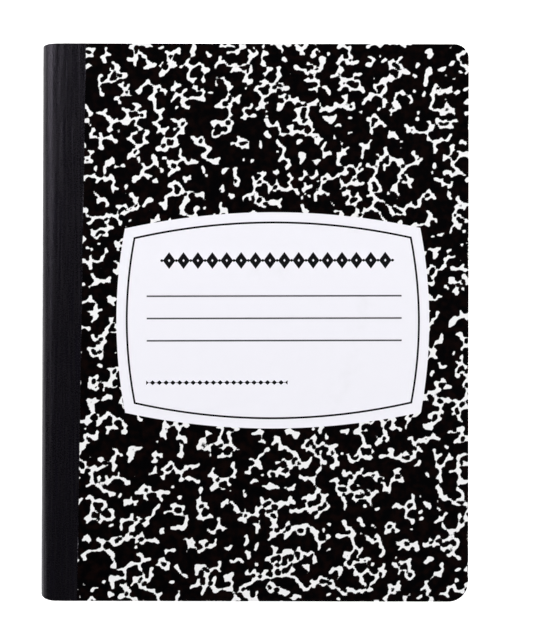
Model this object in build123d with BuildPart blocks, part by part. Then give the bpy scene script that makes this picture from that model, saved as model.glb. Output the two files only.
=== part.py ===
from build123d import *
import os

# A sewn composition notebook, lying closed on its back cover, in millimetres.
# +X runs from the spine to the fore-edge, +Y from the tail to the head, and +Z from the back cover
# to the front cover. The origin is the middle of the book's footprint, on the surface it lies on.

# The trimmed book
width = 190.0  # spine to fore-edge
height = 247.6  # tail to head
thickness = 11.0  # back cover to front cover
head_corner = 6.4  # radius of the fore-edge corner at the head
tail_corner = 9.0  # and at the tail

# What the covers are laminated from
board_thick = 1.0  # grey chipboard
paper_thick = 0.15  # marbled cover paper, on the board's outer face
lining_thick = 0.12  # white lining, on its inner face

# The cloth tape that wraps the spine, laid a little out of square
tape_thick = 0.3
tape_wide = 19.5  # from the spine's outer edge to the tape's edge, at one end of a cover
tape_narrow = 16.4  # the same at that cover's other end
hinge_inset = 7.0  # from the spine's outer edge to the boards' edge, where the tape bends
hinge_gap = 0.05  # between the boards' edge and the fold of the pages
spine_sink = 0.15  # how far the tape dips below the covers at the hinge line
spine_tail_round = 2.6  # how far back the spine's corner is rounded at the tail
spine_head_round = 1.0  # and at the head

# The lockstitch seam through the fold of the pages
thread_radius = 0.3
leg_radius = 0.27  # the thread pulled tight through its needle holes
thread_room = 0.05  # between the thread and its channel
stitch_pitch = 8.0
stitch_count = int(height / stitch_pitch)

# Worked out from the above
cover_thick = paper_thick + board_thick + lining_thick
fore_x = width / 2
spine_x = -width / 2
hinge_x = spine_x + hinge_inset
fold_x = hinge_x - hinge_gap  # where the rounded spine begins
middle_z = thickness / 2
spine_depth = fold_x - spine_x  # half-axes of the spine's elliptical section
spine_rise = middle_z - spine_sink
fold_depth = spine_depth - tape_thick  # and of the folded pages inside it
fold_rise = spine_rise - tape_thick
needle_x = fold_x - fold_depth + thread_room + thread_radius  # the stitches outside the fold
bobbin_x = fold_x - fold_depth + middle_z - cover_thick  # the stitches inside the centre fold

# The outline that trimming gives the covers and the pages
with BuildSketch() as trimmed:
    with Locations((hinge_x, 0)):
        Rectangle(fore_x - hinge_x, height, align=(Align.MIN, Align.CENTER))
    for end, radius in ((0, tail_corner), (-1, head_corner)):
        fillet(trimmed.vertices().group_by(Axis.X)[-1].sort_by(Axis.Y)[end], radius)

# What rounding the spine's corners takes away at its two ends
with BuildSketch(Plane.XY.offset(-1)) as spine_corners:
    for end, deep, align_y in ((-1, spine_tail_round, Align.MAX), (1, spine_head_round, Align.MIN)):
        with Locations((fold_x, end * (height / 2 - deep))):
            Rectangle(spine_depth + 1, deep + 1, align=(Align.MAX, align_y))
            Ellipse(spine_depth, deep, mode=Mode.SUBTRACT)


def round_spine():
    """Take the rounded corners off the part being built."""
    add(spine_corners.sketch)
    extrude(amount=thickness + 2, mode=Mode.SUBTRACT)


def askew_strip(left_tail, left_head, right_tail, right_head):
    """A strip of a cover from tail to head, given where its long edges meet the two ends."""
    with BuildSketch(mode=Mode.PRIVATE) as strip:
        with BuildLine():
            Polyline(
                (left_tail, -height / 2),
                (right_tail, -height / 2),
                (right_head, height / 2),
                (left_head, height / 2),
                close=True,
            )
        make_face()
    return strip.sketch


def finish(piece, node):
    piece.label = node
    export_step(piece, f"parts/{node}.step")


def make_cover(side, outer_z, inward, tape_at_tail, tape_at_head):
    """Board, marbled paper, lining and tape of one cover, from its outer face inwards."""
    tail_edge = spine_x + tape_at_tail
    head_edge = spine_x + tape_at_head
    taped = askew_strip(hinge_x, hinge_x, tail_edge, head_edge)
    riser = askew_strip(tail_edge, head_edge, tail_edge + paper_thick, head_edge + paper_thick)
    pressed = askew_strip(hinge_x, hinge_x, tail_edge + paper_thick, head_edge + paper_thick)
    paper_in = outer_z + inward * paper_thick
    board_in = paper_in + inward * board_thick
    tape_in = outer_z + inward * tape_thick

    # the tape lies flush, in a step that it presses into the paper and the board under it
    with BuildPart() as tape:
        with BuildSketch(Plane.XY.offset(outer_z)):
            add(taped)
        extrude(amount=inward * tape_thick)
    finish(tape.part, f"{side}_tape")

    with BuildPart() as cover_paper:
        with BuildSketch(Plane.XY.offset(outer_z)):
            add(trimmed.sketch)
            add(taped, mode=Mode.SUBTRACT)
        extrude(amount=inward * paper_thick)
        with BuildSketch(Plane.XY.offset(outer_z)):
            add(riser)
        extrude(amount=inward * (tape_thick + paper_thick))
        with BuildSketch(Plane.XY.offset(tape_in)):
            add(taped)
        extrude(amount=inward * paper_thick)
    finish(cover_paper.part, f"{side}_cover_paper")

    with BuildPart() as board:
        with BuildSketch(Plane.XY.offset(paper_in)):
            add(trimmed.sketch)
        extrude(amount=inward * board_thick)
        with BuildSketch(Plane.XY.offset(paper_in)):
            add(pressed)
        extrude(amount=inward * tape_thick, mode=Mode.SUBTRACT)
    finish(board.part, f"{side}_board")

    with BuildPart() as lining:
        with BuildSketch(Plane.XY.offset(board_in)):
            add(trimmed.sketch)
        extrude(amount=inward * lining_thick)
    finish(lining.part, f"{side}_lining")


os.makedirs("parts", exist_ok=True)

make_cover("front", thickness, -1, tape_narrow, tape_wide)
make_cover("back", 0.0, 1, tape_wide, tape_narrow)

# All the sheets as one solid: flat between the covers, and swelling at the fold to meet the tape
with BuildPart() as text_block:
    with BuildSketch(Plane.XZ):
        with BuildLine():
            fold = EllipticalCenterArc((fold_x, middle_z), fold_depth, fold_rise, 90, arc_size=180)
            Polyline(
                fold @ 1,
                (fold_x, cover_thick),
                (fore_x, cover_thick),
                (fore_x, thickness - cover_thick),
                (fold_x, thickness - cover_thick),
                fold @ 0,
            )
        make_face()
    extrude(amount=height / 2, both=True)
    for end, radius in ((0, tail_corner), (-1, head_corner)):
        upright = text_block.edges().filter_by(Axis.Z).group_by(Axis.X)[-1]
        fillet(upright.sort_by(Axis.Y)[end], radius)
    # the seam's two channels, the outer one open to the tape, and its needle holes
    with BuildSketch(Plane.XZ):
        with Locations((needle_x, middle_z), (bobbin_x, middle_z)):
            Circle(thread_radius + thread_room)
        with Locations((needle_x, middle_z)):
            Rectangle(1, 2 * (thread_radius + thread_room), align=(Align.MAX, Align.CENTER))
    extrude(amount=height / 2, both=True, mode=Mode.SUBTRACT)
    with BuildSketch(Plane.YZ.offset(needle_x)):
        with Locations((0, middle_z)):
            with GridLocations(stitch_pitch, 1, stitch_count, 1):
                Circle(leg_radius + thread_room)
    extrude(amount=bobbin_x - needle_x, mode=Mode.SUBTRACT)
    round_spine()
finish(text_block.part, "text_block")

# The thread on the spine side, with a leg down each needle hole towards the thread in the fold
with BuildPart() as needle_thread:
    with BuildSketch(Plane.XZ):
        with Locations((needle_x, middle_z)):
            Circle(thread_radius)
    extrude(amount=height / 2, both=True)
    with BuildSketch(Plane.YZ.offset(needle_x)):
        with Locations((0, middle_z)):
            with GridLocations(stitch_pitch, 1, stitch_count, 1):
                Circle(leg_radius)
    extrude(amount=bobbin_x - needle_x - thread_radius - thread_room)
    round_spine()
finish(needle_thread.part, "needle_thread")

with BuildPart() as bobbin_thread:
    with BuildSketch(Plane.XZ):
        with Locations((bobbin_x, middle_z)):
            Circle(thread_radius)
    extrude(amount=height / 2, both=True)
    round_spine()
finish(bobbin_thread.part, "bobbin_thread")

# The tape's middle stretch, glued round the fold
with BuildPart() as spine_tape:
    with BuildSketch(Plane.XZ):
        with BuildLine():
            outside = EllipticalCenterArc((fold_x, middle_z), spine_depth, spine_rise, 90, arc_size=180)
            inside = EllipticalCenterArc((fold_x, middle_z), fold_depth, fold_rise, 90, arc_size=180)
            Line(outside @ 0, inside @ 0)
            Line(outside @ 1, inside @ 1)
        make_face()
    extrude(amount=height / 2, both=True)
    round_spine()
finish(spine_tape.part, "spine_tape")
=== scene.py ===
import math
import bmesh
import bpy
import numpy as np
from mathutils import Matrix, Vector


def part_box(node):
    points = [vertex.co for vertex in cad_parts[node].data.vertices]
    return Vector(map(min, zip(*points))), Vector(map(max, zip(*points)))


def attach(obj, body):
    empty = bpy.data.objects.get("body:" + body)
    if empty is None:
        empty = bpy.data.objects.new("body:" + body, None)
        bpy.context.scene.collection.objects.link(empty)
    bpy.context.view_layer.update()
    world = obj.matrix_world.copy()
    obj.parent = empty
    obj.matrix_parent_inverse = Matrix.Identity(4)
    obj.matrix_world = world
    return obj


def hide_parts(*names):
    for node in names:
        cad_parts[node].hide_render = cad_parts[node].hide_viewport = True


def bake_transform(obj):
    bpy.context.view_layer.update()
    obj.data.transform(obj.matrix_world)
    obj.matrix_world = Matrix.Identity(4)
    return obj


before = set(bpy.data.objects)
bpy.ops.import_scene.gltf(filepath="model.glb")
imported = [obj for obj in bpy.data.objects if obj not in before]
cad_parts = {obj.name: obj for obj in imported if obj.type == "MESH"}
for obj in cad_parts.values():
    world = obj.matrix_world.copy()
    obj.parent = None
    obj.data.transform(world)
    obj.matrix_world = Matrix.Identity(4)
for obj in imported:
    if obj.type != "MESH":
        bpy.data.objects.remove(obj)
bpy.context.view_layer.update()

mm = 0.001

# where the frame puts the book: spine at -X, head at +Y, lying on its back cover
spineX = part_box("spine_tape")[0].x
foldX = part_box("spine_tape")[1].x  # where the rounded spine begins
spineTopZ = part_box("spine_tape")[1].z
hingeX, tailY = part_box("front_board")[0].xy
foreX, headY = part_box("front_board")[1].xy
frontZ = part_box("front_cover_paper")[1].z
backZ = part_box("back_cover_paper")[0].z
middleZ = (frontZ + backZ) / 2
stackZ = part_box("front_lining")[0].z  # the top of the leaves
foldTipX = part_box("text_block")[0].x
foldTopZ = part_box("text_block")[1].z
seamX = (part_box("bobbin_thread")[0].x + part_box("bobbin_thread")[1].x) / 2

trim = {
    "headCorner": 6.4 * mm,  # radius of the fore-edge corner at the head
    "tailCorner": 9.0 * mm,
    "tapeWide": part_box("front_tape")[1].x,  # the tape's cut edge at the head of the front cover
    "tapeNarrow": spineX + 16.4 * mm,  # and at its tail
}


def foreEdge(y):
    # the fore-edge's x at each y: straight, and a quarter circle at each corner
    pastHead = np.clip(y - (headY - trim["headCorner"]), 0, trim["headCorner"])
    pastTail = np.clip(tailY + trim["tailCorner"] - y, 0, trim["tailCorner"])
    headInset = trim["headCorner"] - np.sqrt(trim["headCorner"] ** 2 - pastHead ** 2)
    tailInset = trim["tailCorner"] - np.sqrt(trim["tailCorner"] ** 2 - pastTail ** 2)
    return foreX - headInset - tailInset


def tapeEdge(y, front):
    # the tape's cut edge: a straight line, wide at the head in front and wide at the tail behind
    alongHead = (y - tailY) / (headY - tailY)
    share = alongHead if front else 1 - alongHead
    return trim["tapeNarrow"] + (trim["tapeWide"] - trim["tapeNarrow"]) * share


def gridFaces(rows, columns, first=0):
    # quads between neighbouring rows and columns of points that are numbered row by row
    row, column = np.meshgrid(np.arange(rows - 1), np.arange(columns - 1), indexing="ij")
    corner = first + row * columns + column
    return np.stack([corner, corner + 1, corner + columns + 1, corner + columns], axis=-1).reshape(-1, 4)


def stripFaces(lower, upper):
    # quads between two equally long lines of points
    return np.stack([lower[:-1], lower[1:], upper[1:], upper[:-1]], axis=-1)


def makePiece(name, points, faces, sharpAngle=35):
    # one closed mesh from an array of points and a list of faces, its normals turned outwards
    mesh = bpy.data.meshes.new(name)
    mesh.from_pydata(points, [], faces)
    shell = bmesh.new()
    shell.from_mesh(mesh)
    bmesh.ops.recalc_face_normals(shell, faces=shell.faces)
    shell.to_mesh(mesh)
    shell.free()
    mesh.polygons.foreach_set("use_smooth", np.ones(len(mesh.polygons), bool))
    mesh.set_sharp_from_angle(angle=math.radians(sharpAngle))
    mesh.update()
    piece = bpy.data.objects.new(name, mesh)
    bpy.context.scene.collection.objects.link(piece)
    return piece


def storeValues(piece, name, values):
    # one number for each point of a piece, for its material to read
    attribute = piece.data.attributes.new(name, "FLOAT", "POINT")
    attribute.data.foreach_set("value", np.asarray(values, np.float32).ravel())


def faceCorners(piece):
    # for each corner of each face, the number of its point and of its face
    point = np.empty(len(piece.data.loops), np.int32)
    piece.data.loops.foreach_get("vertex_index", point)
    total = np.empty(len(piece.data.polygons), np.int32)
    piece.data.polygons.foreach_get("loop_total", total)
    return point, np.repeat(np.arange(len(total)), total)


def storeMap(piece, name, u, v):
    # a UV map from two numbers for each corner of each face
    layer = piece.data.uv_layers.new(name=name)
    layer.data.foreach_set("uv", np.stack([u, v], axis=-1).astype(np.float32).ravel())


# ink print of the cover papers, in millimetres
marbling = {
    "step": 0.3,  # between the points it is worked out at
    "margin": 6.0,
    "dropPitch": 3.8,
    "dropJitter": 1.3,
    "dropRadius": (0.2, 1.0),  # in pitches
    "squash": 1.08,  # drops are this much wider than tall
    "swirl": 0.6,
    "swirlSize": 0.7,
    "openShare": 0.34,  # white left between the drops
    "widestWhite": 1.3,
    "openedBy": (1.35, 0.9),  # where the drop inside a wide white begins, and how steep its side is
    "firstBlur": 0.2,
    "strokeCore": 0.32,
    "strokeReach": 1.3,
    "strokePull": 0.8,
    "rounds": 2,
    "hardness": 2,
    "roundShare": 0.27,
    "whiteShare": 0.235,
    "frontSeed": 5,
    "backSeed": 11,
}


def blurred(field, radius):
    # the field averaged with a Gaussian weight: its waves are damped by length, and it wraps at the edges
    wavesY = np.fft.fftfreq(field.shape[0], marbling["step"])[:, None]
    wavesX = np.fft.rfftfreq(field.shape[1], marbling["step"])[None, :]
    damping = np.exp(-2 * (np.pi * radius) ** 2 * (wavesX ** 2 + wavesY ** 2))
    return np.fft.irfft2(np.fft.rfft2(field) * damping, s=field.shape)


def cloudNoise(rng, shape, radius):
    # white noise averaged over a radius and scaled to a spread of one
    noise = blurred(rng.standard_normal(shape), radius)
    return noise / noise.std()


def levelled(field, share):
    # the field moved up or down until this share of it is above zero
    return field - np.quantile(field, 1 - share)


def inkField(seed):
    # Drops of ink on a jittered brick pattern, swirled a little. The value is the distance from the
    # nearest drop's edge, and whites wider than the limit are opened by one more drop. Each round then
    # hardens the field and takes a wide average from a narrow one, which leaves strokes of one width.
    rng = np.random.default_rng(seed)
    step, pitch, squash = marbling["step"], marbling["dropPitch"], marbling["squash"]
    width = (foreX - spineX) / mm + 2 * marbling["margin"]
    height = (headY - tailY) / mm + 2 * marbling["margin"]
    shape = (int(height / step), int(width / step))
    spare = 3  # cells past each side, for drops whose ink reaches in
    y, x = np.mgrid[0:shape[0], 0:shape[1]] * step
    x = x + cloudNoise(rng, shape, marbling["swirlSize"]) * marbling["swirl"]
    y = (y + cloudNoise(rng, shape, marbling["swirlSize"]) * marbling["swirl"]) * squash
    cells = (int(height * squash / pitch) + 2 * spare + 2, int(width / pitch) + 2 * spare + 2)
    shiftX, shiftY = rng.uniform(-0.5, 0.5, (2, *cells)) * marbling["dropJitter"]
    radius = rng.uniform(*marbling["dropRadius"], cells) * pitch
    row, column = np.floor(y / pitch).astype(int), np.floor(x / pitch).astype(int)
    distance = np.full(shape, 99.0)
    for near in np.ndindex(5, 5):
        cellY, cellX = row + near[0] - 2, column + near[1] - 2
        i, j = np.clip(cellY + spare, 0, cells[0] - 1), np.clip(cellX + spare, 0, cells[1] - 1)
        dropX = (cellX + 0.5 + shiftX[i, j] + 0.5 * (cellY % 2)) * pitch
        dropY = (cellY + 0.5 + shiftY[i, j]) * pitch
        distance = np.minimum(distance, np.hypot(x - dropX, y - dropY) - radius[i, j])
    distance = levelled(distance, marbling["openShare"])
    start, steepness = marbling["openedBy"]
    opened = np.minimum(distance, (marbling["widestWhite"] * start - distance) * steepness)
    ink = blurred(np.clip(opened, -0.5, 0.5), marbling["firstBlur"])
    for turn in range(marbling["rounds"]):
        ink = levelled(ink, marbling["roundShare"])
        ink = np.tanh(marbling["hardness"] * ink / ink.std())
        wide = blurred(ink, marbling["strokeReach"])
        ink = blurred(ink, marbling["strokeCore"]) - marbling["strokePull"] * wide
    ink = levelled(ink, marbling["whiteShare"])
    slopeY, slopeX = np.gradient(ink, step)
    edge = np.abs(ink) < 0.1 * ink.std()
    # about millimetres from the ink's edge
    return np.clip(ink / np.hypot(slopeX, slopeY)[edge].mean(), -1, 1)


def fieldAt(field, x, y):
    # the field between its four nearest points, at places on the book
    margin, step = marbling["margin"], marbling["step"]
    column = np.clip(((x - spineX) / mm + margin) / step, 0, field.shape[1] - 2)
    row = np.clip(((y - tailY) / mm + margin) / step, 0, field.shape[0] - 2)
    i, j = row.astype(int), column.astype(int)
    v, u = row - i, column - j
    lower = field[i, j] * (1 - u) + field[i, j + 1] * u
    upper = field[i + 1, j] * (1 - u) + field[i + 1, j + 1] * u
    return lower * (1 - v) + upper * v


coverPaper = {
    "thick": 0.15 * mm,
    "pressed": 0.3 * mm,  # how deep the tape is pressed into the cover
    "spacing": 0.70 * mm,  # of the points that carry the print
    "cornerRows": 22,
    "stepRun": 0.02 * mm,  # the face's step down under the tape runs in this much
    "mapShare": 0.95,  # of the bake map's width that the outer face gets
    "mapStrip": 0.006,  # and each of the five other sides
}


def coverRows():
    # the y of each row: even angles round the two corners, and even steps between them
    turn = np.linspace(np.pi / 2, 0, coverPaper["cornerRows"])
    tailRows = tailY + trim["tailCorner"] * (1 - np.sin(turn))
    headRows = headY - trim["headCorner"] * (1 - np.sin(turn[::-1]))
    count = round((headRows[0] - tailRows[-1]) / coverPaper["spacing"])
    return np.concatenate([tailRows, np.linspace(tailRows[-1], headRows[0], count)[1:-1], headRows])


def makeCoverPaper(name, front, seed):
    # x runs from the hinge to the tape's cut edge and on to the fore-edge, y along the rows; the face
    # steps down under the tape, and a plain inner face and four walls close it
    inward = -1 if front else 1
    faceZ = frontZ if front else backZ
    y = coverRows()
    cut, fore = tapeEdge(y, front), foreEdge(y)
    step = coverPaper["stepRun"]
    under = np.linspace(0, 1, 4)
    count = round((foreX - trim["tapeWide"]) / coverPaper["spacing"])
    across = np.linspace(0, 1, count)
    underTape = hingeX + np.outer(cut - step - hingeX, under)
    x = np.concatenate([underTape, cut[:, None] + np.outer(fore - cut, across)], 1)
    z = np.full(x.shape, faceZ)
    z[:, :4] += inward * coverPaper["pressed"]
    inner = [np.full_like(y, hingeX), cut + coverPaper["thick"], cut + coverPaper["thick"] + step, fore]
    innerX = np.stack(inner, 1)
    innerZ = np.full(innerX.shape, faceZ + inward * coverPaper["thick"])
    innerZ[:, :2] += inward * coverPaper["pressed"]
    rows, columns = x.shape
    first = rows * columns
    numbers = np.arange(first).reshape(rows, columns)
    innerNumbers = first + np.arange(rows * 4).reshape(rows, 4)
    allX = np.concatenate([x.ravel(), innerX.ravel()])
    allY = np.concatenate([np.repeat(y, columns), np.repeat(y, 4)])
    points = np.stack([allX, allY, np.concatenate([z.ravel(), innerZ.ravel()])], 1)
    quads = [gridFaces(rows, columns), gridFaces(rows, 4, first)[:, ::-1]]
    quads += [stripFaces(numbers[:, 0], innerNumbers[:, 0]), stripFaces(innerNumbers[:, -1], numbers[:, -1])]
    ends = [np.concatenate([numbers[i], innerNumbers[i, ::-1]]).tolist() for i in (0, -1)]
    piece = makePiece(name, points, np.concatenate(quads).tolist() + ends)
    storeValues(piece, "ink", fieldAt(inkField(seed), allX, allY))
    edge = np.minimum(foreEdge(allY) - allX, np.minimum(headY - allY, allY - tailY))
    storeValues(piece, "edge", edge / mm)
    # the bake map: the outer face is laid flat, and the inner face, the two long walls and the two
    # end walls each get a narrow strip beside it
    point, face = faceCorners(piece)
    parts = np.cumsum([(rows - 1) * (columns - 1), (rows - 1) * 3, rows - 1, rows - 1, 1])
    kind = np.searchsorted(parts, face, side="right")
    shareX, shareY = (allX[point] - hingeX) / (foreX - hingeX), (allY[point] - tailY) / (headY - tailY)
    depth = np.abs(points[point, 2] - faceZ) / (coverPaper["pressed"] + coverPaper["thick"])
    within = np.where(kind == 1, shareX, np.where(kind < 4, point >= first, depth))
    strip = coverPaper["mapStrip"] * ((kind - 1) * 1.5 + 0.5 + within)
    u = np.where(kind == 0, shareX * coverPaper["mapShare"], coverPaper["mapShare"] + strip)
    storeMap(piece, "OFBake", u, np.where(kind < 4, shareY, shareX))
    return piece


spineCloth = {
    "thick": 0.27 * mm,
    "proud": 0.05 * mm,  # of the cover, where it lies on it
    "overlap": 0.25 * mm,  # past the step in the cover paper
    "ragged": 0.06 * mm,
    "creaseAt": 0.2 * mm,  # past the fold line
    "creaseDeep": 0.02 * mm,
    "creaseWide": 0.25 * mm,
    "rise": 3.8 * mm,  # over which it climbs onto the cover
    "climbSpan": 1.2,  # the closely spaced columns run this many rises
    "arcColumns": 36,
    "hingeColumns": 22,
    "flatColumns": 24,
    "rows": 332,
    "puckerHigh": 0.022 * mm,
    "puckerReach": (9, 1.3),  # in rows and columns
    "puckerFades": 6,  # columns from the middle of the spine
    "endRound": 0.2 * mm,  # the spine draws in by this much at head and tail
    "tailCorner": 2.6 * mm,  # and its corner is cut back by this much of its length at the tail
    "headCorner": 1.0 * mm,  # and at the head
    "cornerReach": 12.0 * mm,  # the length that is pushed together for it
    "seed": 23,
}


def drawnIn(y):
    # how far the spine draws in near its two ends: a quarter ellipse along the length
    length = 1.5 * spineCloth["endRound"]
    past = np.clip((np.abs(y) - (headY - length)) / length, 0, 1)
    return spineCloth["endRound"] * (1 - np.sqrt(1 - past ** 2))


def cutBack(x, y):
    # y pulled away from the nearer end by a quarter ellipse: not at all at the fold line, and by the
    # whole corner where the spine is furthest out
    out = np.clip((foldX - x) / (foldX - spineX), 0, 1)
    nearTail = np.clip(1 - (y - tailY) / spineCloth["cornerReach"], 0, 1) * spineCloth["tailCorner"]
    nearHead = np.clip(1 - (headY - y) / spineCloth["cornerReach"], 0, 1) * spineCloth["headCorner"]
    return y + (1 - np.sqrt(1 - out ** 2)) * (nearTail - nearHead)


def smoothNoise(rng, rows, columns, rowReach, columnReach):
    # noise on a rows-by-columns grid, averaged over so many rows and columns, with a spread of one
    waves = np.fft.fftfreq(rows)[:, None] * rowReach, np.fft.rfftfreq(columns)[None, :] * columnReach
    damping = np.exp(-2 * np.pi ** 2 * (waves[0] ** 2 + waves[1] ** 2))
    noise = np.fft.irfft2(np.fft.rfft2(rng.standard_normal((rows, columns))) * damping, s=(rows, columns))
    return noise / noise.std()


def crease(x):
    # the depth of the shallow groove along the fold line: a bell curve across it
    across = (x - foldX - spineCloth["creaseAt"]) / spineCloth["creaseWide"]
    return spineCloth["creaseDeep"] * np.exp(-across ** 2)


def makeSpineCloth(name, front):
    # a profile carried from tail to head: a quarter ellipse from the middle of the spine to the fold
    # line, a shallow crease, a climb onto the cover, and the flat to the slanting ragged cut edge
    cloth = spineCloth
    side = 1 if front else -1
    rng = np.random.default_rng(cloth["seed"] + front)
    y = np.linspace(tailY, headY, cloth["rows"] - 10)
    y = np.sort(np.concatenate([y, *(end * (headY - np.arange(0.1, 0.6, 0.1) * mm) for end in (-1, 1))]))
    turn = np.linspace(np.pi, np.pi / 2, cloth["arcColumns"])[:-1]
    climb = np.linspace(0, cloth["climbSpan"] * cloth["rise"], cloth["hingeColumns"])
    rag = smoothNoise(rng, cloth["rows"], 1, 1.2, 0)[:, 0]
    cut = tapeEdge(y, front) + cloth["overlap"] + cloth["ragged"] * rag
    flat = np.linspace(0, 1, cloth["flatColumns"])[1:]
    climbX = np.broadcast_to(foldX + climb, (cloth["rows"], cloth["hingeColumns"]))
    flatX = climbX[:, -1:] + np.outer(cut - climbX[:, -1], flat)
    flatX = np.concatenate([climbX, flatX], 1)
    share = np.clip((flatX - foldX) / cloth["rise"], 0, 1)
    flatZ = spineTopZ + (frontZ + cloth["proud"] - spineTopZ) * share * share * (3 - 2 * share)
    flatZ = flatZ - crease(flatX)
    flatInnerZ = flatZ - cloth["thick"]
    # bring the ellipse and the flat together, outer and inner
    sections = []
    for inset, z in ((0, flatZ), (cloth["thick"], flatInnerZ)):
        arcX = foldX + np.outer(foldX - spineX - inset - drawnIn(y), np.cos(turn))
        arcZ = middleZ + np.outer(spineTopZ - middleZ - inset - 0.3 * drawnIn(y), np.sin(turn))
        sections.append((np.concatenate([arcX, flatX], 1), np.concatenate([arcZ - crease(arcX), z], 1)))
    (outerX, outerZ), (innerX, innerZ) = sections
    pucker = smoothNoise(rng, *outerX.shape, *cloth["puckerReach"]) * cloth["puckerHigh"]
    pucker *= np.clip(np.arange(outerX.shape[1]) / cloth["puckerFades"], 0, 1)  # both halves meet at one line
    outerZ = outerZ + np.where(outerZ > middleZ, pucker, 0)
    rows, columns = outerX.shape
    outerZ, innerZ = (middleZ + side * (z - middleZ) for z in (outerZ, innerZ))
    allX = np.concatenate([outerX.ravel(), innerX.ravel()])
    allY = cutBack(allX, np.tile(np.repeat(y, columns), 2))
    points = np.stack([allX, allY, np.concatenate([outerZ.ravel(), innerZ.ravel()])], 1)
    outer = np.arange(rows * columns).reshape(rows, columns)
    inner = outer + rows * columns
    quads = [gridFaces(rows, columns), gridFaces(rows, columns, rows * columns)[:, ::-1]]
    for line in (np.s_[0, :], np.s_[-1, :], np.s_[:, 0], np.s_[:, -1]):
        quads.append(stripFaces(outer[line], inner[line]))
    piece = makePiece(name, points, np.concatenate(quads).tolist(), sharpAngle=50)
    along = np.hypot(np.diff(outerX, axis=1), np.diff(outerZ, axis=1))
    along = np.concatenate([np.zeros((rows, 1)), np.cumsum(along, axis=1)], 1) * side
    point = faceCorners(piece)[0]
    storeMap(piece, "clothLay", np.tile(along.ravel(), 2)[point], allY[point])
    storeValues(piece, "edge", np.tile((cut[:, None] - outerX).ravel(), 2) / mm)
    return piece


leaves = {
    "groups": 40,  # ridges of leaves in the whole thickness
    "grooveDeep": 0.035 * mm,
    "uneven": 0.05 * mm,  # how far one ridge stands out past another
    "shoulder": 0.75 * mm,  # the press of the boards on the fold
    "shoulderReach": 0.8 * mm,
    "foldColumns": 30,
    "edgeStep": 4.0 * mm,
    "foreSteps": 60,
    "cornerSteps": 12,
    "seed": 41,
}


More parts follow.
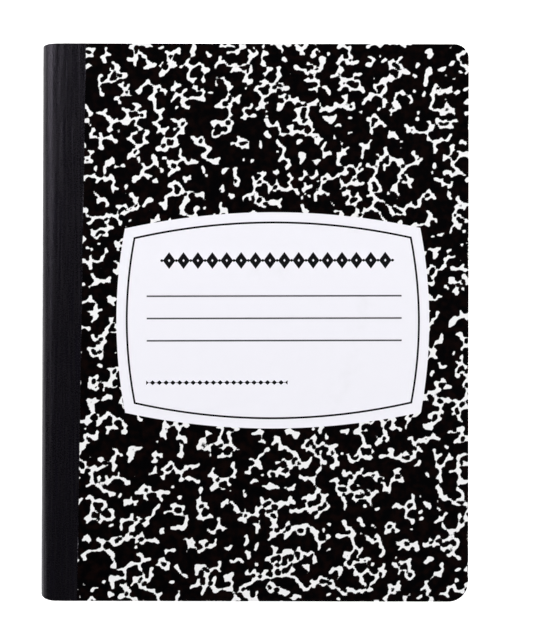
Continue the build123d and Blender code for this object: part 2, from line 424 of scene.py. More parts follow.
def makeLeaves(name):
    # The trimmed edges are a band: a path from the fold along the tail, round the fore-edge and back
    # along the head, times the heights of the leaf ridges. Each end of the fold is a fan of nested
    # half-ellipses, one for each ridge, and the outermost one is carried from tail to head.
    rng = np.random.default_rng(leaves["seed"])
    half = leaves["groups"] // 2
    offset = np.zeros((half, 3))
    offset[:, 0] = -leaves["grooveDeep"]
    offset[:, 1:] = rng.uniform(-1, 0, (half, 1)) * leaves["uneven"]
    level = (np.arange(half)[:, None] + np.array([0, 0.16, 0.84])).ravel() / half
    level = np.append(level, 1.0)  # from the centre fold, 0, to the outermost leaf, 1
    offset = np.append(offset.ravel(), 0.0)
    levels = np.concatenate([-level[::-1], level[1:]])
    offsets = np.concatenate([offset[::-1], offset[1:]])
    startX = foldX + 0.1 * mm
    # the path, with its outward normals
    turn = np.linspace(0, np.pi / 2, leaves["cornerSteps"])
    tailEdge = np.arange(startX, foreX - trim["tailCorner"], leaves["edgeStep"])
    headEdge = np.arange(startX, foreX - trim["headCorner"], leaves["edgeStep"])[::-1]
    foreSteps = np.linspace(tailY + trim["tailCorner"], headY - trim["headCorner"], leaves["foreSteps"])[1:-1]
    tailTurn, headTurn = (np.stack([np.sin(turn), -np.cos(turn)]), np.stack([np.cos(turn), np.sin(turn)]))
    tailCentre = np.array([[foreX - trim["tailCorner"]], [tailY + trim["tailCorner"]]])
    headCentre = np.array([[foreX - trim["headCorner"]], [headY - trim["headCorner"]]])
    path = np.concatenate([
        np.stack([tailEdge, np.full_like(tailEdge, tailY)]),
        tailCentre + trim["tailCorner"] * tailTurn,
        np.stack([np.full_like(foreSteps, foreX), foreSteps]),
        headCentre + trim["headCorner"] * headTurn,
        np.stack([headEdge, np.full_like(headEdge, headY)]),
    ], axis=1)
    normal = np.concatenate([
        np.stack([0 * tailEdge, 0 * tailEdge - 1]), tailTurn,
        np.stack([0 * foreSteps + 1, 0 * foreSteps]), headTurn,
        np.stack([0 * headEdge, 0 * headEdge + 1]),
    ], axis=1)
    stack = stackZ - middleZ
    bandX = path[0] + np.outer(offsets, normal[0])
    bandY = path[1] + np.outer(offsets, normal[1])
    bandZ = middleZ + np.outer(levels, np.full(path.shape[1], stack))
    rows, columns = bandX.shape
    band = np.arange(rows * columns).reshape(rows, columns)
    points = [np.stack([bandX.ravel(), bandY.ravel(), bandZ.ravel()], 1)]
    leaf = [np.repeat(levels, columns)]
    quads = [gridFaces(rows, columns)]
    # the fold's fans, from the back of the band round the spine to the front of it
    around = np.linspace(-np.pi / 2, np.pi / 2, 2 * leaves["foldColumns"] + 1)
    depth = (foldX - seamX) + (seamX - foldTipX) * level
    fanX = foldX - np.outer(depth, np.cos(around))
    press = leaves["shoulder"] * np.exp(-((fanX - foldX) / leaves["shoulderReach"]) ** 2)
    fanZ = middleZ + level[:, None] * (foldTopZ - middleZ - press) * np.sin(around)
    count = len(level)
    backEnd, frontEnd = band[:count][::-1], band[count - 1:]
    fans = []
    total = rows * columns
    for edgeColumn, y, away in ((0, tailY, -1), (-1, headY, 1)):
        fanY = y + away * np.outer(offset, np.ones(len(around)))
        tucked = foldX + (fanX - foldX) * (1 - spineCloth["endRound"] / (foldX - foldTipX))
        fanY = cutBack(tucked, fanY)
        points.append(np.stack([tucked.ravel(), fanY.ravel(), fanZ.ravel()], 1))
        leaf.append(np.repeat(level, len(around)))
        fan = total + np.arange(fanX.size).reshape(fanX.shape)
        total += fanX.size
        fan = np.concatenate([backEnd[:, [edgeColumn]], fan, frontEnd[:, [edgeColumn]]], 1)
        fans.append(fan)
        corner = fan[:-1, :-1], fan[:-1, 1:], fan[1:, 1:], fan[1:, :-1]
        quads.append(np.stack([c.ravel() for c in corner], 1))
    # the outermost leaf round the fold, drawn in at both ends like the cloth over it
    length = np.linspace(0, 1, 8)[1:-1] ** 2 * 1.5 * spineCloth["endRound"]
    ringY = np.concatenate([tailY + length, (headY - length)[::-1]])
    rings = []
    for y in ringY:
        ringX = foldX + (fanX[-1] - foldX) * (1 - drawnIn(y) / (foldX - foldTipX))
        points.append(np.stack([ringX, cutBack(ringX, np.full_like(ringX, y)), fanZ[-1]], 1))
        leaf.append(np.ones(len(around)))
        rings.append(total + np.arange(len(around)))
        total += len(around)
    lines = [fans[0][-1][1:-1], *rings, fans[1][-1][1:-1]]
    quads += [stripFaces(lower, upper) for lower, upper in zip(lines[:-1], lines[1:])]
    # the two pages, and the two strips that join them to the fold
    pages = [band[0].tolist(), band[-1].tolist()]
    strips = [[page[0], page[-1], *(int(line[k]) for line in lines[::-1])] for k, page in zip((0, -1), pages)]
    faces = np.concatenate(quads).tolist() + pages + strips
    piece = makePiece(name, np.concatenate(points), faces, sharpAngle=60)
    storeValues(piece, "leaf", np.concatenate(leaf))
    return piece


def addNode(tree, kind, sockets=None, **settings):
    # a node with its settings, and each socket set to a number or linked from another node's socket
    node = tree.nodes.new("ShaderNode" + kind)
    for key, value in settings.items():
        setattr(node, key, value)
    for key, value in (sockets or {}).items():
        if isinstance(value, bpy.types.NodeSocket):
            tree.links.new(value, node.inputs[key])
        else:
            node.inputs[key].default_value = value
    return node


def calc(tree, operation, *values, clamp=False):
    return addNode(tree, "Math", dict(enumerate(values)), operation=operation, use_clamp=clamp).outputs[0]


def ramp(tree, value, low, high, toLow=0.0, toHigh=1.0, kind="SMOOTHSTEP"):
    sockets = {"Value": value, "From Min": low, "From Max": high, "To Min": toLow, "To Max": toHigh}
    return addNode(tree, "MapRange", sockets, interpolation_type=kind).outputs[0]


def blendColour(tree, mask, first, second, kind="MIX"):
    node = addNode(tree, "Mix", data_type="RGBA", blend_type=kind)
    for key, value in ((0, mask), (6, first), (7, second)):
        if isinstance(value, bpy.types.NodeSocket):
            tree.links.new(value, node.inputs[key])
        else:
            node.inputs[key].default_value = value
    return node.outputs[2]


def noise(tree, vector, scale, detail=2.0, roughness=0.5):
    sockets = {"Vector": vector, "Scale": scale, "Detail": detail, "Roughness": roughness}
    return addNode(tree, "TexNoise", sockets).outputs["Fac"]


def scaled(tree, vector, factors):
    return addNode(tree, "VectorMath", {0: vector, 1: factors}, operation="MULTIPLY").outputs[0]


def newGroup(name, inputs, outputs):
    group = bpy.data.node_groups.new(name, "ShaderNodeTree")
    for label, kind, value in inputs:
        socket = group.interface.new_socket(label, in_out="INPUT", socket_type="NodeSocket" + kind)
        socket.default_value = value
    for label, kind in outputs:
        group.interface.new_socket(label, in_out="OUTPUT", socket_type="NodeSocket" + kind)
    return group, group.nodes.new("NodeGroupInput").outputs, group.nodes.new("NodeGroupOutput").inputs


def useGroup(tree, group, sockets):
    node = tree.nodes.new("ShaderNodeGroup")
    node.node_tree = group
    for key, value in sockets.items():
        if isinstance(value, bpy.types.NodeSocket):
            tree.links.new(value, node.inputs[key])
        else:
            node.inputs[key].default_value = value
    return node.outputs


def makePaperFibre():
    # paper: soft mottling, and fibres as noise drawn out one way, for the bump and a faint tint
    group, given, made = newGroup(
        "paperFibre",
        [("Vector", "Vector", (0, 0, 0)), ("Size", "Float", 1.0)],
        [("Tone", "Float"), ("Height", "Float")],
    )
    sized = addNode(group, "VectorMath", {0: given["Vector"], "Scale": given["Size"]}, operation="SCALE")
    place = sized.outputs[0]
    mottle = noise(group, place, 160, 3)
    fibre = noise(group, scaled(group, place, (1, 3, 1)), 900, 2)
    grit = noise(group, place, 2600, 1)
    tone = calc(group, "MULTIPLY_ADD", fibre, 0.45, calc(group, "MULTIPLY", mottle, 0.55))
    group.links.new(tone, made["Tone"])
    height = calc(group, "MULTIPLY_ADD", grit, 0.35, calc(group, "MULTIPLY", fibre, 0.65))
    group.links.new(height, made["Height"])
    return group


def makeClothWeave():
    # plain weave: warp threads along Y and weft threads across, each a rounded wave, over and under
    # by turns; slubs are noise drawn out along the warp
    group, given, made = newGroup(
        "clothWeave",
        [("Vector", "Vector", (0, 0, 0)), ("Threads", "Float", 2500.0)],
        [("Height", "Float"), ("Thread", "Float"), ("Slub", "Float")],
    )
    wobble = noise(group, given["Vector"], 300, 1)
    moved = addNode(group, "VectorMath", {0: given["Vector"], 1: (0.0002, 0.0002, 0)}, operation="ADD")
    place = addNode(group, "SeparateXYZ", {0: moved.outputs[0]}).outputs
    turns = calc(group, "MULTIPLY", given["Threads"], math.pi)
    across = calc(group, "MULTIPLY", calc(group, "MULTIPLY_ADD", wobble, 0.00012, place[0]), turns)
    along = calc(group, "MULTIPLY", calc(group, "MULTIPLY_ADD", wobble, 0.00012, place[1]), turns)
    warp = calc(group, "ABSOLUTE", calc(group, "SINE", across))
    weft = calc(group, "ABSOLUTE", calc(group, "SINE", along))
    over = calc(group, "MULTIPLY", calc(group, "COSINE", across), calc(group, "COSINE", along))
    over = ramp(group, over, -0.4, 0.4)
    upper = calc(group, "MULTIPLY", warp, over)
    lower = calc(group, "MULTIPLY", weft, calc(group, "SUBTRACT", 1.0, over))
    slub = noise(group, scaled(group, given["Vector"], (1, 0.03, 1)), 1100, 3, 0.65)
    grain = noise(group, given["Vector"], 1500, 3, 0.7)
    slub = calc(group, "MULTIPLY_ADD", grain, 0.5, calc(group, "MULTIPLY", slub, 0.5))
    group.links.new(calc(group, "ADD", upper, lower), made["Height"])
    group.links.new(calc(group, "ADD", upper, calc(group, "MULTIPLY", lower, 0.7)), made["Thread"])
    group.links.new(slub, made["Slub"])
    return group


def makeEdgeWear():
    # a worn mask: more of a noise comes through the nearer a place is to the edge
    group, given, made = newGroup(
        "edgeWear",
        [("Vector", "Vector", (0, 0, 0)), ("Distance", "Float", 9.0), ("Reach", "Float", 1.0),
         ("Amount", "Float", 0.5)],
        [("Mask", "Float")],
    )
    near = calc(group, "SUBTRACT", 1.0, calc(group, "DIVIDE", given["Distance"], given["Reach"]), clamp=True)
    chips = noise(group, given["Vector"], 1300, 3, 0.65)
    patches = noise(group, given["Vector"], 70, 1)
    chips = calc(group, "MULTIPLY_ADD", patches, 0.5, calc(group, "MULTIPLY", chips, 0.5))
    worn = calc(group, "MULTIPLY_ADD", calc(group, "MULTIPLY", near, given["Amount"]), 0.35, chips)
    worn = calc(group, "MULTIPLY", ramp(group, worn, 0.66, 0.72), ramp(group, near, 0.0, 0.15))
    group.links.new(worn, made["Mask"])
    return group


def makeBowedPanel():
    # how far outside a panel with bowed sides a place is, in millimetres, and less than zero inside:
    # the half width grows towards the middle of the height as a parabola, and the half height likewise
    group, given, made = newGroup(
        "bowedPanel",
        [("Vector", "Vector", (0, 0, 0)), ("Half Width", "Float", 60.0), ("Half Height", "Float", 40.0),
         ("Side Bow", "Float", 4.0), ("End Bow", "Float", 7.0)],
        [("Outside", "Float")],
    )
    place = addNode(group, "SeparateXYZ", {0: given["Vector"]}).outputs
    u, v = calc(group, "ABSOLUTE", place[0]), calc(group, "ABSOLUTE", place[1])
    past = []
    for here, there, size, length, bow in (
        (u, v, "Half Width", "Half Height", "Side Bow"),
        (v, u, "Half Height", "Half Width", "End Bow"),
    ):
        share = calc(group, "DIVIDE", there, given[length])
        bulge = calc(group, "SUBTRACT", 1.0, calc(group, "MULTIPLY", share, share))
        reach = calc(group, "MULTIPLY_ADD", bulge, given[bow], given[size])
        past.append(calc(group, "SUBTRACT", here, reach))
    group.links.new(calc(group, "MAXIMUM", *past), made["Outside"])
    return group


def makeLozengeRow():
    # an even row of lozenges with a bead between each two, centred on the vector's origin, in millimetres:
    # a lozenge is where |x| / half width + |y| / half height is under 1, and a bead is a small disc
    group, given, made = newGroup(
        "lozengeRow",
        [("Vector", "Vector", (0, 0, 0)), ("Pitch", "Float", 6.0), ("Half Length", "Float", 50.0),
         ("Half Width", "Float", 2.0), ("Half Height", "Float", 3.0), ("Eye", "Float", 0.3),
         ("Bead", "Float", 0.8)],
        [("Mask", "Float")],
    )
    place = addNode(group, "SeparateXYZ", {0: given["Vector"]}).outputs
    height = calc(group, "ABSOLUTE", place[1])
    cell = calc(group, "ADD", calc(group, "DIVIDE", place[0], given["Pitch"]), 0.5)
    inCell = calc(group, "ABSOLUTE", calc(group, "SUBTRACT", cell, calc(group, "ROUND", cell)))
    fromLozenge = calc(group, "MULTIPLY", inCell, given["Pitch"])
    fromBead = calc(group, "MULTIPLY", calc(group, "SUBTRACT", 0.5, inCell), given["Pitch"])
    lozenge = calc(
        group, "ADD",
        calc(group, "DIVIDE", fromLozenge, given["Half Width"]),
        calc(group, "DIVIDE", height, given["Half Height"]),
    )
    solid = ramp(group, lozenge, 0.96, 1.04, 1.0, 0.0)
    eye = ramp(group, calc(group, "SUBTRACT", lozenge, given["Eye"]), -0.04, 0.04)
    solid = calc(group, "MULTIPLY", solid, eye)
    squared = calc(group, "MULTIPLY_ADD", fromBead, fromBead, calc(group, "MULTIPLY", height, height))
    far = calc(group, "SQRT", squared)
    bead = ramp(group, calc(group, "SUBTRACT", far, given["Bead"]), -0.08, 0.08, 1.0, 0.0)
    within = calc(group, "LESS_THAN", calc(group, "ABSOLUTE", place[0]), given["Half Length"])
    group.links.new(calc(group, "MULTIPLY", calc(group, "MAXIMUM", solid, bead), within), made["Mask"])
    return group


paperFibre, clothWeave, edgeWear = makePaperFibre(), makeClothWeave(), makeEdgeWear()
bowedPanel, lozengeRow = makeBowedPanel(), makeLozengeRow()


def newMaterial(name, **constants):
    # a material with its Principled shader's constants set, its node tree and the Object coordinates
    material = bpy.data.materials.new(name)
    material.use_nodes = True
    tree = material.node_tree
    shader = tree.nodes["Principled BSDF"]
    for key, value in constants.items():
        shader.inputs[key.replace("_", " ")].default_value = value
    return material, tree, shader, addNode(tree, "TexCoord").outputs["Object"]


def link(tree, value, socket):
    tree.links.new(value, socket)


def bump(tree, height, distance, strength=1.0):
    return addNode(tree, "Bump", {"Height": height, "Distance": distance, "Strength": strength}).outputs[0]


def attribute(tree, name):
    return addNode(tree, "Attribute", attribute_name=name).outputs["Fac"]


# the printed panel on the front cover, in millimetres
panel = {
    "centre": (8.1 * mm, 0.8 * mm),
    "turn": 0.25,  # degrees
    "paper": (65.6, 40.9, 3.85, 7.1),  # half width, half height, side bow, end bow
    "border": (61.35, 36.6, 3.5, 6.85),
    "borderHalf": 0.44,
    "rulesMiddle": 0.9,
    "rulePitch": 9.9,
    "ruleCentre": 0.6,
    "ruleHalfLength": 56.6,
    "ruleHalf": 0.36,
    "ornament": (2.0, 26.6),
    "fineRow": (-24.9, -27.6),
}


def makeMarbledPrint(name, withPanel):
    material, tree, shader, place = newMaterial(name, Specular_IOR_Level=0.02)
    fibre = useGroup(tree, paperFibre, {"Vector": place, "Size": 1.0})
    fuzz = calc(tree, "SUBTRACT", noise(tree, place, 1000, 3, 0.6), 0.5)
    ink = calc(tree, "MULTIPLY_ADD", fuzz, 0.45, attribute(tree, "ink"))
    white = ramp(tree, ink, -0.09, 0.09)
    bare = blendColour(tree, fibre["Tone"], (0.80, 0.80, 0.81, 1), (0.88, 0.88, 0.88, 1))
    blotches = ramp(tree, noise(tree, place, 260, 3, 0.6), 0.4, 0.7)
    black = blendColour(tree, blotches, (0.0001, 0.0001, 0.0004, 1), (0.0040, 0.0014, 0.0012, 1))
    colour = blendColour(tree, white, black, bare)
    if withPanel:
        turn = (0, 0, math.radians(panel["turn"]))
        spot = addNode(tree, "Mapping", {"Vector": place, "Location": (*panel["centre"], 0), "Rotation": turn,
                                         "Scale": (mm, mm, mm)}, vector_type="TEXTURE").outputs[0]
        xy = addNode(tree, "SeparateXYZ", {0: spot}).outputs

        def panelAt(sizes):
            keys = ("Half Width", "Half Height", "Side Bow", "End Bow")
            return useGroup(tree, bowedPanel, {"Vector": spot, **dict(zip(keys, sizes))})["Outside"]

        def rowAt(centre, **sizes):
            moved = addNode(tree, "VectorMath", {0: spot, 1: (*centre, 0)}, operation="SUBTRACT").outputs[0]
            sockets = {key.replace("_", " "): value for key, value in sizes.items()}
            return useGroup(tree, lozengeRow, {"Vector": moved, **sockets})["Mask"]

        inPanel = ramp(tree, panelAt(panel["paper"]), -0.1, 0.1, 1.0, 0.0)
        border = calc(tree, "ABSOLUTE", panelAt(panel["border"]))
        border = ramp(tree, calc(tree, "SUBTRACT", border, panel["borderHalf"]), -0.06, 0.06, 1.0, 0.0)
        line = calc(tree, "DIVIDE", calc(tree, "SUBTRACT", xy[1], panel["rulesMiddle"]), panel["rulePitch"])
        nearest = calc(tree, "MINIMUM", calc(tree, "MAXIMUM", calc(tree, "ROUND", line), -1.0), 1.0)
        off = calc(tree, "ABSOLUTE", calc(tree, "SUBTRACT", line, nearest))
        off = calc(tree, "MULTIPLY", off, panel["rulePitch"])
        rules = ramp(tree, calc(tree, "SUBTRACT", off, panel["ruleHalf"]), -0.07, 0.07, 1.0, 0.0)
        reach = calc(tree, "ABSOLUTE", calc(tree, "SUBTRACT", xy[0], panel["ruleCentre"]))
        rules = calc(tree, "MULTIPLY", rules, calc(tree, "LESS_THAN", reach, panel["ruleHalfLength"]))
        ornament = rowAt(panel["ornament"], Pitch=6.4, Half_Length=51.9, Half_Width=2.8, Half_Height=3.75,
                         Eye=0.17, Bead=0.62)
        fineRow = rowAt(panel["fineRow"], Pitch=3.0, Half_Length=31.4, Half_Width=1.25, Half_Height=1.05,
                        Eye=-1.0, Bead=0.2)
        printed = calc(tree, "MAXIMUM", calc(tree, "MAXIMUM", border, ornament), fineRow)
        smudge = ramp(tree, noise(tree, place, 35, 4, 0.65), 0.6, 0.85)
        clean = blendColour(tree, fibre["Tone"], (0.845, 0.837, 0.893, 1), (0.872, 0.864, 0.922, 1))
        clean = blendColour(tree, calc(tree, "MULTIPLY", smudge, 0.35), clean, (0.72, 0.72, 0.74, 1))
        clean = blendColour(tree, calc(tree, "MULTIPLY", rules, 0.95), clean, (0.03, 0.03, 0.032, 1))
        clean = blendColour(tree, printed, clean, (0.006, 0.006, 0.007, 1))
        colour = blendColour(tree, inPanel, colour, clean)
    worn = useGroup(tree, edgeWear, {"Vector": place, "Distance": attribute(tree, "edge"), "Reach": 0.7,
                                     "Amount": 0.3})["Mask"]
    link(tree, blendColour(tree, worn, colour, (0.62, 0.60, 0.56, 1)), shader.inputs["Base Color"])
    link(tree, ramp(tree, fibre["Tone"], 0.3, 0.7, 0.5, 0.62, "LINEAR"), shader.inputs["Roughness"])
    link(tree, bump(tree, fibre["Height"], 0.012 * mm), shader.inputs["Normal"])
    return material


def makeBookCloth(name):
    material, tree, shader, place = newMaterial(name, Specular_IOR_Level=0.33, Specular_Tint=(0.90, 0.82, 1, 1))
    lay = addNode(tree, "UVMap", uv_map="clothLay").outputs[0]
    weave = useGroup(tree, clothWeave, {"Vector": lay, "Threads": 2400.0})
    dark = blendColour(tree, weave["Thread"], (0.0001, 0.0001, 0.0002, 1), (0.0005, 0.0004, 0.0010, 1))
    slubs = ramp(tree, weave["Slub"], 0.5, 0.6)
    dark = blendColour(tree, calc(tree, "MULTIPLY", slubs, 0.8), dark, (0.0052, 0.0043, 0.0086, 1))
    fray = useGroup(tree, edgeWear, {"Vector": place, "Distance": attribute(tree, "edge"), "Reach": 0.5,
                                     "Amount": 0.3})["Mask"]
    colour = blendColour(tree, calc(tree, "MULTIPLY", fray, 0.6), dark, (0.12, 0.11, 0.13, 1))
    link(tree, colour, shader.inputs["Base Color"])
    link(tree, ramp(tree, weave["Slub"], 0.42, 0.58, 0.36, 0.19, "LINEAR"), shader.inputs["Roughness"])
    relief = calc(tree, "MULTIPLY_ADD", weave["Slub"], 2.5, weave["Height"])
    link(tree, bump(tree, relief, 0.025 * mm), shader.inputs["Normal"])
    return material


def makeGreyboard(name):
    # chipboard: pressed grey fibres with dark and pale flecks, in thin plies through its thickness
    material, tree, shader, place = newMaterial(name, Roughness=0.9, Specular_IOR_Level=0.15)
    plies = noise(tree, scaled(tree, place, (0.05, 0.05, 1)), 9000, 2)
    fibre = useGroup(tree, paperFibre, {"Vector": place, "Size": 1.4})
    flecks = ramp(tree, noise(tree, place, 2400, 2, 0.7), 0.62, 0.74)
    colour = blendColour(tree, plies, (0.20, 0.185, 0.165, 1), (0.36, 0.34, 0.31, 1))
    colour = blendColour(tree, calc(tree, "MULTIPLY", flecks, 0.6), colour, (0.08, 0.075, 0.07, 1))
    colour = blendColour(tree, ramp(tree, fibre["Tone"], 0.55, 0.75, 0.0, 0.5), colour, (0.5, 0.48, 0.44, 1))
    link(tree, colour, shader.inputs["Base Color"])
    relief = calc(tree, "MULTIPLY_ADD", plies, 0.7, fibre["Height"])
    link(tree, bump(tree, relief, 0.05 * mm), shader.inputs["Normal"])
    return material


def makeLiningPaper(name):
    material, tree, shader, place = newMaterial(name, Specular_IOR_Level=0.2)
    fibre = useGroup(tree, paperFibre, {"Vector": place, "Size": 0.9})
    cloud = noise(tree, place, 18, 2)
    colour = blendColour(tree, fibre["Tone"], (0.58, 0.565, 0.52, 1), (0.68, 0.665, 0.625, 1))
    colour = blendColour(tree, calc(tree, "MULTIPLY", cloud, 0.2), colour, (0.48, 0.46, 0.40, 1))
    link(tree, colour, shader.inputs["Base Color"])
    link(tree, ramp(tree, fibre["Tone"], 0.3, 0.7, 0.75, 0.88, "LINEAR"), shader.inputs["Roughness"])
    link(tree, bump(tree, fibre["Height"], 0.02 * mm), shader.inputs["Normal"])
    return material


ruling = {"pitch": 8.7, "firstFromHead": 31.0, "lastFromTail": 9.0, "marginFromHinge": 30.0, "lineHalf": 0.17}


def makeLeafPaper(name):
    # flat faces carry the ruling, wide rules across and one margin line; the trimmed edges carry the
    # leaves as fine lines of noise along the value that counts them, the dark lines painted shade in the gaps
    # between leaves
    material, tree, shader, place = newMaterial(name, Specular_IOR_Level=0.2)
    fibre = useGroup(tree, paperFibre, {"Vector": place, "Size": 1.0})
    white = blendColour(tree, fibre["Tone"], (0.70, 0.695, 0.665, 1), (0.77, 0.765, 0.74, 1))
    xy = addNode(tree, "SeparateXYZ", {0: place}).outputs
    fromHead = calc(tree, "DIVIDE", calc(tree, "SUBTRACT", headY, xy[1]), mm)
    count = calc(tree, "DIVIDE", calc(tree, "SUBTRACT", fromHead, ruling["firstFromHead"]), ruling["pitch"])
    off = calc(tree, "ABSOLUTE", calc(tree, "SUBTRACT", count, calc(tree, "ROUND", count)))
    off = calc(tree, "SUBTRACT", calc(tree, "MULTIPLY", off, ruling["pitch"]), ruling["lineHalf"])
    rules = ramp(tree, off, -0.05, 0.05, 1.0, 0.0)
    rules = calc(tree, "MULTIPLY", rules, calc(tree, "GREATER_THAN", count, -0.5))
    lastLine = (headY - tailY) / mm - ruling["lastFromTail"]
    rules = calc(tree, "MULTIPLY", rules, calc(tree, "LESS_THAN", fromHead, lastLine))
    fromMargin = calc(tree, "SUBTRACT", calc(tree, "DIVIDE", calc(tree, "SUBTRACT", xy[0], hingeX), mm),
                      ruling["marginFromHinge"])
    margin = calc(tree, "SUBTRACT", calc(tree, "ABSOLUTE", fromMargin), ruling["lineHalf"])
    margin = ramp(tree, margin, -0.05, 0.05, 1.0, 0.0)
    page = blendColour(tree, calc(tree, "MULTIPLY", rules, 0.9), white, (0.12, 0.26, 0.50, 1))
    page = blendColour(tree, calc(tree, "MULTIPLY", margin, 0.9), page, (0.60, 0.10, 0.14, 1))
    leaf = addNode(tree, "CombineXYZ", {0: calc(tree, "MULTIPLY", attribute(tree, "leaf"), 0.9)}).outputs[0]
    along = scaled(tree, place, (0.8, 0.8, 0))
    counted = addNode(tree, "VectorMath", {0: leaf, 1: along}, operation="ADD").outputs[0]
    # fine lines along the leaves: the dark ones are painted shade in the gaps between leaves, the pale ones the
    # paper's own edge
    lines = noise(tree, counted, 27, 3, 0.8)
    leafEdgesAndGapShade = blendColour(tree, ramp(tree, lines, 0.32, 0.62), (0.40, 0.39, 0.36, 1), (0.80, 0.79, 0.76, 1))
    facing = addNode(tree, "SeparateXYZ", {0: addNode(tree, "NewGeometry").outputs["True Normal"]}).outputs[2]
    flat = calc(tree, "GREATER_THAN", calc(tree, "ABSOLUTE", facing), 0.995)
    link(tree, blendColour(tree, flat, leafEdgesAndGapShade, page), shader.inputs["Base Color"])
    link(tree, ramp(tree, fibre["Tone"], 0.3, 0.7, 0.78, 0.9, "LINEAR"), shader.inputs["Roughness"])
    edgeRelief = calc(tree, "MULTIPLY", lines, calc(tree, "SUBTRACT", 1.0, flat))
    relief = calc(tree, "MULTIPLY_ADD", fibre["Height"], 0.3, edgeRelief)
    link(tree, bump(tree, relief, 0.05 * mm), shader.inputs["Normal"])
    return material


def makeSeamThread(name):
    # twisted cotton: plies wind round as slanting ridges, with painted shade in the grooves between them
    material, tree, shader, place = newMaterial(name, Roughness=0.8, Specular_IOR_Level=0.25)
    xyz = addNode(tree, "SeparateXYZ", {0: place}).outputs
    slant = calc(tree, "ADD", xyz[1], calc(tree, "MULTIPLY", calc(tree, "ADD", xyz[0], xyz[2]), 1.2))
    plies = calc(tree, "ABSOLUTE", calc(tree, "SINE", calc(tree, "MULTIPLY", slant, 5200.0)))
    # darker where the ridge wave is low: painted shade in the grooves between plies
    colour = blendColour(tree, plies, (0.42, 0.41, 0.38, 1), (0.80, 0.79, 0.74, 1))
    link(tree, blendColour(tree, calc(tree, "MULTIPLY", noise(tree, place, 4000, 2), 0.3), colour,
                           (0.6, 0.59, 0.56, 1)), shader.inputs["Base Color"])
    link(tree, bump(tree, plies, 0.06 * mm), shader.inputs["Normal"])
    return material


def dress(piece, material):
    piece.data.materials.clear()
    piece.data.materials.append(material)


frontPaper = makeCoverPaper("frontMarbledPaper", True, marbling["frontSeed"])
backPaper = makeCoverPaper("backMarbledPaper", False, marbling["backSeed"])
dress(frontPaper, makeMarbledPrint("marbledPrintWithPanel", True))
dress(backPaper, makeMarbledPrint("marbledPrint", False))
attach(frontPaper, "front_cover")
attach(backPaper, "back_cover")
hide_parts("front_cover_paper")
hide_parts("back_cover_paper")
print("cover papers printed")

bookCloth = makeBookCloth("bookCloth")
for clothName, front, body, nodes in (
    ("frontSpineCloth", True, "front_cover", ("front_tape", "spine_tape")),
    ("backSpineCloth", False, "back_cover", ("back_tape", "spine_tape")),
):
    cloth = makeSpineCloth(clothName, front)
    dress(cloth, bookCloth)
    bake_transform(cloth)
    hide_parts(*nodes)
print("spine cloth laid")

leafBlock = makeLeaves("foldedLeaves")
dress(leafBlock, makeLeafPaper("leafPaper"))
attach(leafBlock, "block")
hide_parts("text_block")
print("leaves folded and trimmed")

greyboard, liningPaper = makeGreyboard("greyboard"), makeLiningPaper("liningPaper")
seamThread = makeSeamThread("seamThread")
for nodeName, material in (
    ("front_board", greyboard), ("back_board", greyboard),
    ("front_lining", liningPaper), ("back_lining", liningPaper),
    ("needle_thread", seamThread), ("bobbin_thread", seamThread),
):
    dress(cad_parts[nodeName], material)
print("boards, linings and threads finished")

studio = {
    "floorSize": 6.0,
    "floorGlow": (0.62, 1.0),  # near the book and far from it
    "glowReach": (0.5, 1.3),  # metres from the middle
    "worldStrength": 0.07,
    # centre from the book's middle, size, watts
    "leftBox": ((-0.93, 0.65, 0.78), (0.6, 0.7), 14.6),
    "rightBox": ((0.95, 0.15, 0.90), (0.8, 1.2), 11.2),
    "tailBox": ((0.05, -1.1, 0.80), (1.3, 0.7), 3.7),
    "headBox": ((0.05, 1.15, 0.80), (1.3, 0.7), 3.7),
}


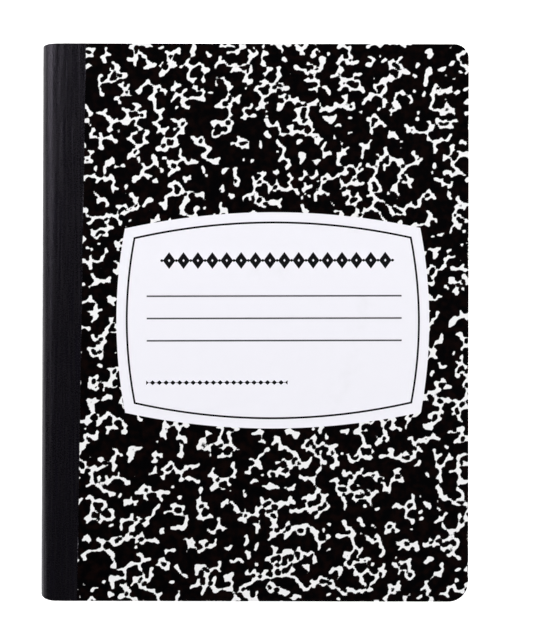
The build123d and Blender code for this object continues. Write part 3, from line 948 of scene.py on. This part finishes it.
def makeFloor():
    edge = studio["floorSize"] / 2
    corners = np.array([[-edge, -edge, 0], [edge, -edge, 0], [edge, edge, 0], [-edge, edge, 0]])
    floor = makePiece("floor", corners, [[0, 1, 2, 3]])
    material, tree, shader, place = newMaterial("palePaperSweep", Roughness=0.9, Specular_IOR_Level=0.1,
                                                Emission_Color=(1, 1, 1, 1))
    pale = blendColour(tree, noise(tree, place, 3, 2), (0.955, 0.955, 0.955, 1), (0.965, 0.965, 0.965, 1))
    link(tree, pale, shader.inputs["Base Color"])
    # it glows a little by itself, and more far out, where the lights don't reach
    away = addNode(tree, "VectorMath", {0: place}, operation="LENGTH").outputs["Value"]
    glow = ramp(tree, away, *studio["glowReach"], *studio["floorGlow"])
    link(tree, glow, shader.inputs["Emission Strength"])
    floor.data.materials.append(material)


def addSoftbox(name, centre, size, watts):
    light = bpy.data.lights.new(name, "AREA")
    light.shape = "RECTANGLE"
    light.size, light.size_y = size
    light.energy = watts
    box = bpy.data.objects.new(name, light)
    bpy.context.scene.collection.objects.link(box)
    box.location = centre
    box.rotation_euler = (-Vector(centre)).to_track_quat("-Z", "Y").to_euler()


makeFloor()
for boxName in ("leftBox", "rightBox", "tailBox", "headBox"):
    addSoftbox(boxName, *studio[boxName])
world = bpy.data.worlds.new("dimStudio")
world.use_nodes = True
backdrop = world.node_tree.nodes["Background"]
backdrop.inputs["Color"].default_value = (1, 1, 1, 1)
# the room lights the book dimly, but past the floor's edge it is as pale as the floor
seen = addNode(world.node_tree, "LightPath").outputs["Is Camera Ray"]
room = ramp(world.node_tree, seen, 0.0, 1.0, studio["worldStrength"], 1.0, "LINEAR")
link(world.node_tree, room, backdrop.inputs["Strength"])
bpy.context.scene.world = world
bpy.context.scene.view_settings.view_transform = "Standard"

view = {
    "height": 0.65,  # over the front cover
    "foot": (5.3 * mm, -0.4 * mm),  # the point straight under the camera
    "aim": (5.3 * mm, 4.7 * mm),  # the point in the middle of the picture
    "tall": 276.6 * mm,  # what the picture takes in from top to bottom at the cover
    "tilt": 0.45,
    "roll": 0.13,
    "sensor": 36.0,
}
lens = bpy.data.cameras.new("overhead")
lens.sensor_fit = "VERTICAL"
lens.sensor_height = view["sensor"]
lens.lens = view["sensor"] * view["height"] / view["tall"]
tilted = view["height"] * math.tan(math.radians(view["tilt"]))
lens.shift_x = (view["aim"][0] - view["foot"][0]) / view["tall"]
lens.shift_y = (view["aim"][1] - view["foot"][1] - tilted) / view["tall"]
lens.clip_start = 0.01
camera = bpy.data.objects.new("overhead", lens)
bpy.context.scene.collection.objects.link(camera)
camera.location = (*view["foot"], frontZ + view["height"])
camera.rotation_euler = (math.radians(view["tilt"]), 0, math.radians(view["roll"]))
bpy.context.scene.camera = camera
print("studio and camera set")
